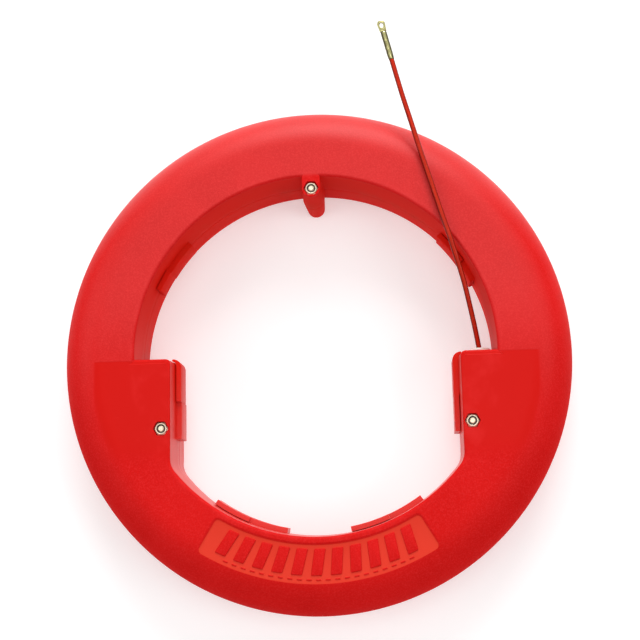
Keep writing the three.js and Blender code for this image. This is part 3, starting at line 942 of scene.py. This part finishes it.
# %% Rear half and bush mouth
BUSH_X = 128.5
BUSH_BODY = 6.5
rear_case = add_object("rear_case", front_case.data.copy())
turn_over = Matrix.Translation((0, 0, DEPTH * MM)) @ Matrix.Rotation(pi, 4, "Y")
rear_case.data.transform(turn_over)
for half in (front_case, rear_case):
    bm = bmesh.new()
    turned(bm, [(BUSH_BODY + 0.3, -8), (BUSH_BODY + 0.3, 8)], 48, (BUSH_X, 0, MID), (0, 1, 0))
    combine(half, bm, "DIFFERENCE")
    shade(half, 30)
    paint(half, case_red)
    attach(half, "case")
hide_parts("front_shell")
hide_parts("rear_shell")
print("front", len(front_case.data.polygons), "rear", len(rear_case.data.polygons), "faces")

# %% [markdown]
# ## Repeats with Geometry Nodes
# Bars, dashes, fasteners and turns of rod all repeat. Each repeat is a small Geometry Nodes tree: it takes
# a part, sets copies of it where they belong and gives them their finish. Trees, too, read better as calls,
# so a class adds the nodes. A tree runs as a modifier on an object, and its result is kept as a plain mesh.

# %% A tree written as calls
class Tree:
    """A Geometry Nodes tree with named inputs. Each call adds a node and returns one of its outputs."""

    def __init__(self, name, **inputs):
        self.group = bpy.data.node_groups.new(name, "GeometryNodeTree")
        self.group.interface.new_socket("Geometry", in_out="OUTPUT", socket_type="NodeSocketGeometry")
        for label, kind in inputs.items():
            self.group.interface.new_socket(label, in_out="INPUT", socket_type="NodeSocket" + kind)
        self.given = self.group.nodes.new("NodeGroupInput").outputs

    def add(self, kind, settings=None, inputs=None, output=0):
        node = self.group.nodes.new(kind)
        for key, value in (settings or {}).items():
            setattr(node, key, value)
        for key, value in (inputs or {}).items():
            if isinstance(value, bpy.types.NodeSocket):
                self.group.links.new(value, node.inputs[key])
            else:
                node.inputs[key].default_value = value
        return node.outputs[output]

    def calc(self, operation, a, b=0.0):
        return self.add("ShaderNodeMath", {"operation": operation}, {0: a, 1: b})

    def vector(self, *parts):
        return self.add("ShaderNodeCombineXYZ", None, dict(enumerate(parts)))

    def circle(self, resolution, radius):
        inputs = {"Resolution": resolution, "Radius": radius}
        return self.add("GeometryNodeCurvePrimitiveCircle", None, inputs)

    def copies(self, points, part, **how):
        """Copies of a part on points, as real geometry."""
        placed = self.add("GeometryNodeInstanceOnPoints", None, {"Points": points, "Instance": part, **how})
        return self.add("GeometryNodeRealizeInstances", None, {"Geometry": placed})

    def part(self):
        return self.add("GeometryNodeObjectInfo", None, {"Object": self.given["part"]}, "Geometry")

    def result(self, geometry):
        """Gives the geometry its finish and hands it out."""
        inputs = {"Geometry": geometry, "Material": self.given["finish"]}
        out = self.group.nodes.new("NodeGroupOutput")
        self.group.links.new(self.add("GeometryNodeSetMaterial", None, inputs), out.inputs[0])
        return self.group


# %% Running a tree
def grown(name, points, tree, **values):
    """An object of loose points, in millimetres, that a tree turns into a plain mesh."""
    obj = add_object(name)
    obj.data.from_pydata([Vector(point) * MM for point in points], [], [])
    modifier = obj.modifiers.new("grow", "NODES")
    modifier.node_group = tree
    for item in tree.interface.items_tree:
        if item.in_out == "INPUT" and item.name in values:
            modifier[item.identifier] = values[item.name]
    return apply_modifiers(obj)


# %% [markdown]
# ## Raised bars in the label recess
# Each bar is a small pillow: a slanted lozenge with rounded corners and a slightly domed top. The tree sets
# a row of them round the ring, and the bearing of each is worked out from its index. A second row of small
# dashes follows under it. Both rows are one mesh for each half.

# %% One bar and one dash
BAR_CORNER, LEAST_CORNER, BAR_FOOT = 1.1, 0.25, -0.25


def pillow(name, length, width, height, slant):
    """A raised bar whose long side is Y. Its foot is on z = 0 and reaches a little below."""
    rows = []
    for inset, level in ((0.0, BAR_FOOT), (0.0, height * 0.35), (0.28, height * 0.8), (0.75, height)):
        u, v = width / 2 - inset, length / 2 - inset
        size = min(max(LEAST_CORNER, BAR_CORNER - inset), u - 0.05, v - 0.05)
        row = []
        for k, (a, b) in enumerate(((u - size, v - size), (size - u, v - size),
                                    (size - u, size - v), (u - size, size - v))):
            for turn in (radians(90 * k + 22.5 * i) for i in range(5)):
                along = b + size * sin(turn)
                row.append(Vector((a + size * cos(turn) + along * slant, along, level)))
        rows.append(row)
    bm = bmesh.new()
    closed_rows(bm, rows)
    return finish_mesh(bm, name)


bar = pillow("bar", 20.0, 8.6, 0.75, 0.16)
dash = pillow("dash", 1.6, 4.2, 0.4, 0.0)


# %% A row of parts round the ring
def row_round_the_ring():
    """Count copies of a part on an arc round +Z, each turned to face the axis."""
    t = Tree("row_round_the_ring", part="Object", finish="Material", count="Int", radius="Float",
             half_angle="Float", height="Float")
    count, radius = t.given["count"], t.given["radius"]
    share = t.calc("DIVIDE", t.add("GeometryNodeInputIndex"), t.calc("SUBTRACT", count, 1))
    bearing = t.calc("MULTIPLY", t.calc("SUBTRACT", t.calc("MULTIPLY", share, 2), 1), t.given["half_angle"])
    x = t.calc("MULTIPLY", t.calc("SINE", bearing), radius)
    y = t.calc("MULTIPLY", t.calc("MULTIPLY", t.calc("COSINE", bearing), -1), radius)
    points = t.add("GeometryNodePoints", None, {"Count": count})
    spot = t.vector(x, y, t.given["height"])
    placed = t.add("GeometryNodeSetPosition", None, {"Geometry": points, "Position": spot})
    return t.result(t.copies(placed, t.part(), Rotation=t.vector(0.0, 0.0, bearing)))


ring_row = row_round_the_ring()
LABEL_ROWS = ((bar, 11, 158.8, 25.5), (dash, 21, 171.9, 24.0))    # part, count, radius, half angle


def label_relief(name, mirror):
    bm = bmesh.new()
    for part, count, radius, half_angle in LABEL_ROWS:
        row = grown("row", [], ring_row, part=part, finish=case_red, count=count, radius=radius * MM,
                    half_angle=radians(half_angle), height=LABEL_FLOOR * MM)
        bm.from_mesh(row.data)
        discard(row)
    if mirror:
        bm.transform(turn_over)
    relief = finish_mesh(bm, name, sharp=50)
    paint(relief, case_red)
    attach(relief, "case")
    return relief


for name, mirror in (("front_label_relief", False), ("rear_label_relief", True)):
    print(name, len(label_relief(name, mirror).data.polygons), "faces")
for piece in (bar, dash):
    discard(piece)

# %% [markdown]
# ## Screws, washers and lock nuts
# Each station has a slotted pan-head screw, a flat washer under its head, and a nut whose collar holds a
# nylon ring. One of each is modelled about the axis, with a real thread on the part that shows. A second
# tree then sets a copy on each of the three stations, so the three are the same in every detail.

# %% One lock nut
NUT_FLATS, NUT_HEIGHT, INSERT_HEIGHT, NUT_BORE = 9.5, 6.0, 1.6, 2.55
SCREW = 2.4
SCREW_GAP = 0.3
NUT_LOW = DEPTH - POCKET_DEPTH + SCREW_GAP
NUT_TOP = NUT_LOW + NUT_HEIGHT
NUT_SIDES = 96


def hex_reach(flats, angle):
    """How far a hexagon reaches at an angle, with two of its corners on the X axis."""
    sector = (angle + pi / 6) % (pi / 3) - pi / 6
    return flats / 2 / cos(pi / 6 - abs(sector))


def hexed(height, cone):
    """The nut's hexagon at a height, cut off by a cone, so that its corners are chamfered."""
    spots = []
    for angle in (2 * pi * i / NUT_SIDES for i in range(NUT_SIDES)):
        reach = min(hex_reach(NUT_FLATS, angle), cone)
        spots.append(Vector((reach * cos(angle), reach * sin(angle), height)))
    return spots


def lock_nut():
    """A hexagon with turned chamfers, run into a round collar, with a bore: one closed skin."""
    collar = NUT_FLATS / 2 - 0.15
    hex_top = NUT_TOP - INSERT_HEIGHT
    tip = NUT_FLATS / sqrt(3)
    crown = [(collar, hex_top + 0.1), (collar, NUT_TOP - 0.7), (collar - 0.12, NUT_TOP - 0.35),
             (collar - 0.42, NUT_TOP - 0.08), (collar - 0.75, NUT_TOP), (collar - 1.05, NUT_TOP - 0.12),
             (collar - 1.15, NUT_TOP - 0.4), (collar - 1.15, hex_top - 0.3), (NUT_BORE, hex_top - 0.3)]
    rows = [circle(NUT_BORE, NUT_LOW, NUT_SIDES), hexed(NUT_LOW, tip - 0.55), hexed(NUT_LOW + 0.3, tip),
            hexed(hex_top - 0.35, tip), hexed(hex_top, tip - 0.45)]
    bm = bmesh.new()
    add_rows(bm, rows + [circle(radius, height, NUT_SIDES) for radius, height in crown], ring=True)
    return finish_mesh(bm, "lock_nut", sharp=38)


# %% One insert, one washer, one screw
def nut_insert():
    outer = NUT_FLATS / 2 - 1.45
    low, top = NUT_TOP - INSERT_HEIGHT, NUT_TOP - 0.35
    return turned_ring("nut_insert", [(2.5, low), (outer, low), (outer, top - 0.15), (outer - 0.15, top),
                                      (2.85, top), (2.6, top - 0.25), (2.5, top - 0.5)])


HEAD, HEAD_HEIGHT, WASHER, WASHER_HEIGHT = 4.6, 3.2, 5.0, 1.0
HEAD_TOP = POCKET_DEPTH - SCREW_GAP - WASHER_HEIGHT - SCREW_GAP
SCREW_TIP = DEPTH - 1.0
PITCH, THREAD_DEPTH, THREAD_LENGTH = 1.06, 0.42, 9.0
SCREW_SIDES, STEPS_PER_PITCH, TIP_CHAMFER = 36, 8, 0.7
SLOT = (12.0, 1.1, 2.4)


def flat_washer():
    low = HEAD_TOP + SCREW_GAP
    high = low + WASHER_HEIGHT
    return turned_ring("washer", [
        (2.65, low + 0.1), (2.75, low), (WASHER - 0.2, low), (WASHER, low + 0.2), (WASHER, high - 0.1),
        (WASHER - 0.1, high), (2.75, high), (2.65, high - 0.1)])


def thread_row(height):
    """The screw's outline at a height: a ridge that climbs a pitch in each turn, within the tip's cone."""
    inner = SCREW - THREAD_DEPTH - TIP_CHAMFER / 2
    cone = min(1.0, (SCREW_TIP - height) / TIP_CHAMFER)
    row = []
    for i in range(SCREW_SIDES):
        ridge = abs(2 * ((height / PITCH - i / SCREW_SIDES) % 1.0) - 1)
        radius = min(SCREW - THREAD_DEPTH * ridge, inner + (SCREW - inner) * cone)
        angle = 2 * pi * i / SCREW_SIDES
        row.append(Vector((radius * cos(angle), radius * sin(angle), height)))
    return row


def screw():
    """A pan head with a slot, a plain shank, and a thread over the last stretch."""
    low = HEAD_TOP - HEAD_HEIGHT
    start, steps = SCREW_TIP - THREAD_LENGTH, int(THREAD_LENGTH / PITCH * STEPS_PER_PITCH)
    head = [(0.9, low), (2.4, low + 0.08), (3.5, low + 0.38), (4.2, low + 0.95), (HEAD - 0.08, low + 1.6),
            (HEAD, low + 2.1), (HEAD, HEAD_TOP - 0.15), (HEAD - 0.15, HEAD_TOP), (SCREW + 0.15, HEAD_TOP),
            (SCREW, HEAD_TOP + 0.15), (SCREW, start - 0.5)]
    bm = bmesh.new()
    closed_rows(bm, [circle(radius, height, SCREW_SIDES) for radius, height in head]
                + [thread_row(start + THREAD_LENGTH * k / steps) for k in range(steps + 1)])
    obj = finish_mesh(bm, "screw", sharp=50)
    bm = bmesh.new()
    bmesh.ops.create_cube(bm, size=1.0)
    bm.transform(Matrix.Translation(Vector((0, 0, low)) * MM) @ Matrix.Diagonal((*(Vector(SLOT) * MM), 1)))
    combine(obj, bm, "DIFFERENCE")
    shade(obj, 40)
    return obj


# %% One part on every station
def one_on_each_station():
    t = Tree("one_on_each_station", geometry="Geometry", part="Object", finish="Material")
    return t.result(t.copies(t.given["geometry"], t.part()))


on_stations = one_on_each_station()


def at_stations(name, part, material, nodes):
    """Sets a part on the three stations as one plain piece, which stands for the three CAD nodes."""
    places = [(*place, 0) for place in STATIONS.values()]
    obj = grown(name, places, on_stations, part=part, finish=material)
    discard(part)
    paint(obj, material)
    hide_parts(*[f"{nodes}_{side}" for side in STATIONS])
    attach(obj, "case")
    print(name, len(obj.data.polygons), "faces")


at_stations("lock_nuts", lock_nut(), zinc, "lock_nut")
at_stations("nut_inserts", nut_insert(), dark_nylon, "nut_insert")
at_stations("washers", flat_washer(), zinc, "washer")
at_stations("screws", screw(), zinc, "screw")

# %% [markdown]
# ## Guide bush
# The bush keeps the rod from sawing into the case. Its wide, round-edged flange sits on the block's top,
# and its bore leans with the rod and opens towards the outside like a shallow trumpet. It is turned about
# +Y, and the bore is cut with a turned tool that leans along the rod.

# %% Guide bush
FLANGE = 8.5
BUSH_PROFILE = [
    (BUSH_BODY - 0.4, -5.0), (BUSH_BODY, -4.6), (BUSH_BODY, 0.0), (BUSH_BODY + 0.2, 0.2),
    (FLANGE - 0.4, 0.25), (FLANGE - 0.1, 0.45), (FLANGE, 0.9), (FLANGE, 1.9), (FLANGE - 0.12, 2.5),
    (FLANGE - 0.5, 3.1),
    (FLANGE - 1.1, 3.5), (FLANGE - 1.9, 3.68), (FLANGE - 2.8, 3.7), (3.6, 3.55),
]
BORE_PROFILE = [(2.6, -20.0), (2.6, -3.2), (2.75, -2.0), (3.1, -1.1), (3.6, -0.4), (4.4, 0.3), (6.0, 1.4)]
bm = bmesh.new()
turned(bm, BUSH_PROFILE, 64, (BUSH_X, 0, MID), (0, 1, 0))
bush = finish_mesh(bm, "guide_bush_turned")
bm = bmesh.new()
turned(bm, BORE_PROFILE, 48, exit_point, exit_way)
combine(bush, bm, "DIFFERENCE")
shade(bush, 35)
paint(bush, bush_white)
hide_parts("guide_bush")
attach(bush, "case")
print(bush.name, len(bush.data.polygons), "faces")

# %% [markdown]
# ## The rod inside the case
# Behind the bush the rod runs straight for a stretch, and then lies in the ring as a coil of about fifty
# turns. The straight stretch is a tube like the free rod. The turns are rings of light tube, packed like
# stacked pipes inside the rounded wall and set out by a third tree. A crimped stop ends the rod.

# %% Straight stretch behind the bush
FEED_LENGTH = 55.0
feed_line = [exit_point - exit_way * back for back in (FEED_LENGTH, FEED_LENGTH / 2, JOIN_GAP)]
rod_feed = tube("rod_behind_bush", feed_line, ROD_DIAMETER / 2)
paint(rod_feed, rod_red)
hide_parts("rod_feed")
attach(rod_feed, "leader")


# %% The places of the turns
COIL_INNER, COIL_LOW, COIL_HIGH, COIL_ROUND = 174.0, 14.0, 52.0, 25.5
TURN = ROD_DIAMETER / 2
TURN_GAP, ROW_RISE = 0.05, 0.87


def turn_places():
    """Radius and height of each turn: rows a diameter apart, staggered, kept inside the round wall."""
    places, row = [], 0
    height = COIL_LOW + TURN
    while height <= COIL_HIGH - TURN + 0.01:
        radius = COIL_INNER + TURN + (TURN if row % 2 else 0)
        room = FACE_EDGE + sqrt(max(0, COIL_ROUND ** 2 - (height - MID) ** 2))
        while radius <= room:
            places.append((radius, 0, height))
            radius += 2 * TURN + TURN_GAP
        height += 2 * TURN * ROW_RISE
        row += 1
    return places


places = turn_places()
print("turns", len(places), "about", round(sum(2 * pi * radius for radius, _, _ in places) * MM), "m of rod")


# %% The coil
def turns_of_the_coil():
    """A ring of tube for every point, whose x is its radius and whose z is its height."""
    t = Tree("turns_of_the_coil", geometry="Geometry", rod_radius="Float", finish="Material")
    place = t.add("GeometryNodeInputPosition")
    reach, height = [t.add("ShaderNodeSeparateXYZ", None, {0: place}, k) for k in (0, 2)]
    kept = t.add("GeometryNodeStoreNamedAttribute", {"data_type": "FLOAT"},
                 {"Geometry": t.given["geometry"], "Name": "reach", "Value": reach})
    level = t.vector(0.0, 0.0, height)
    lifted = t.add("GeometryNodeSetPosition", None, {"Geometry": kept, "Position": level})
    size = t.add("GeometryNodeInputNamedAttribute", {"data_type": "FLOAT"}, {"Name": "reach"})
    turns = t.copies(lifted, t.circle(72, 1.0), Scale=t.vector(size, size, 1.0))
    section = t.circle(8, t.given["rod_radius"])
    return t.result(t.add("GeometryNodeCurveToMesh", None, {"Curve": turns, "Profile Curve": section}))


coil = grown("rod_coil_turns", places, turns_of_the_coil(), rod_radius=(TURN - TURN_GAP) * MM, finish=rod_red)
coil.data.shade_smooth()
paint(coil, rod_red)
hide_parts("rod_coil")
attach(coil, "coil")
print(coil.name, len(coil.data.polygons), "faces")

# %% End stop
STOP_AT = (-(COIL_INNER - 4), 0.0, MID)
STOP_PROFILE = [(2.2, -9.0), (2.9, -8.7), (3.2, -8.0), (3.2, -3.2), (2.9, -2.6), (2.9, -1.0), (3.2, -0.4),
                (3.2, 8.0), (2.9, 8.7), (2.2, 9.0)]
bm = bmesh.new()
turned(bm, STOP_PROFILE, 32, STOP_AT, (0, 1, 0))
end_stop = finish_mesh(bm, "rod_end_stop_crimped")
paint(end_stop, brass)
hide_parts("rod_end_stop")
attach(end_stop, "coil")
print(end_stop.name, len(end_stop.data.polygons), "faces")

# %% [markdown]
# ## Floor and light
# The floor is a pale, matt sheet, wide enough to fill every view. It glows a little, like a light table, so
# that it stays white beside the red case. A large soft light beyond the reel's top end gives the pale sheen
# along the upper rim, weaker ones from the left and the right lift the opening's side walls, a faint one
# overhead fills the pockets, and an even surround keeps the shadows thin. Everything faces a bright floor,
# so the case has a low reflection and only the light beyond the top end gives it a sheen.

# %% Floor
FLOOR_REACH, FLOOR_LEVEL = 40.0, -0.0006


def floor_finish():
    r = Recipe("floor_pale")
    spot, _ = r.axes()
    cloud = r.noise(spot, 3.0, 3.0, 0.5)
    colour = r.blend(cloud, (0.71, 0.71, 0.71), (0.74, 0.74, 0.74))
    return r.finish(Base_Color=colour, Roughness=cloud * 0.1 + 0.75, Specular_IOR_Level=0.1,
                    Emission_Color=(1.0, 1.0, 1.0, 1.0), Emission_Strength=0.40)


floor = add_object("floor")
corners = [(x * FLOOR_REACH, y * FLOOR_REACH, FLOOR_LEVEL) for x, y in ((-1, -1), (1, -1), (1, 1), (-1, 1))]
floor.data.from_pydata(corners, [], [(0, 1, 2, 3)])
paint(floor, floor_finish())


# %% Light
def add_softbox(name, place, size, power, aim=(0, 0, 0.03)):
    """A round soft light that isn't seen itself."""
    data = bpy.data.lights.new(name, "AREA")
    data.shape, data.size, data.energy = "DISK", size, power
    lamp = add_object(name, data)
    lamp.location = place
    lamp.rotation_mode = "QUATERNION"
    lamp.rotation_quaternion = (Vector(aim) - Vector(place)).to_track_quat("-Z", "Y")
    lamp.visible_camera = False


add_softbox("top_light", (0.2, 2.8, 1.5), 2.2, 78)
add_softbox("overhead_light", (0.0, 0.2, 2.6), 1.5, 8)
add_softbox("left_light", (-2.2, -0.4, 1.6), 1.6, 14)
add_softbox("right_light", (2.0, -0.4, 1.9), 1.4, 16)


# %% Surround
def studio_surround(level=0.42, up=0.06, top=0.04):
    """A grey room that is brighter overhead and beyond the reel's top end."""
    world = bpy.data.worlds.new("studio")
    world.use_nodes = True
    nodes, links = world.node_tree.nodes, world.node_tree.links
    way, split = nodes.new("ShaderNodeTexCoord"), nodes.new("ShaderNodeSeparateXYZ")
    links.new(way.outputs["Generated"], split.inputs[0])
    total = level
    for axis, amount in ((2, up), (1, top)):
        step = nodes.new("ShaderNodeMath")
        step.operation = "MULTIPLY_ADD"
        links.new(split.outputs[axis], step.inputs[0])
        step.inputs[1].default_value = amount
        if isinstance(total, float):
            step.inputs[2].default_value = total
        else:
            links.new(total, step.inputs[2])
        total = step.outputs[0]
    links.new(total, nodes["Background"].inputs["Strength"])
    nodes["Background"].inputs["Color"].default_value = (1.0, 1.0, 1.0, 1.0)
    return world


bpy.context.scene.world = studio_surround()
bpy.context.scene.view_settings.view_transform = "Standard"
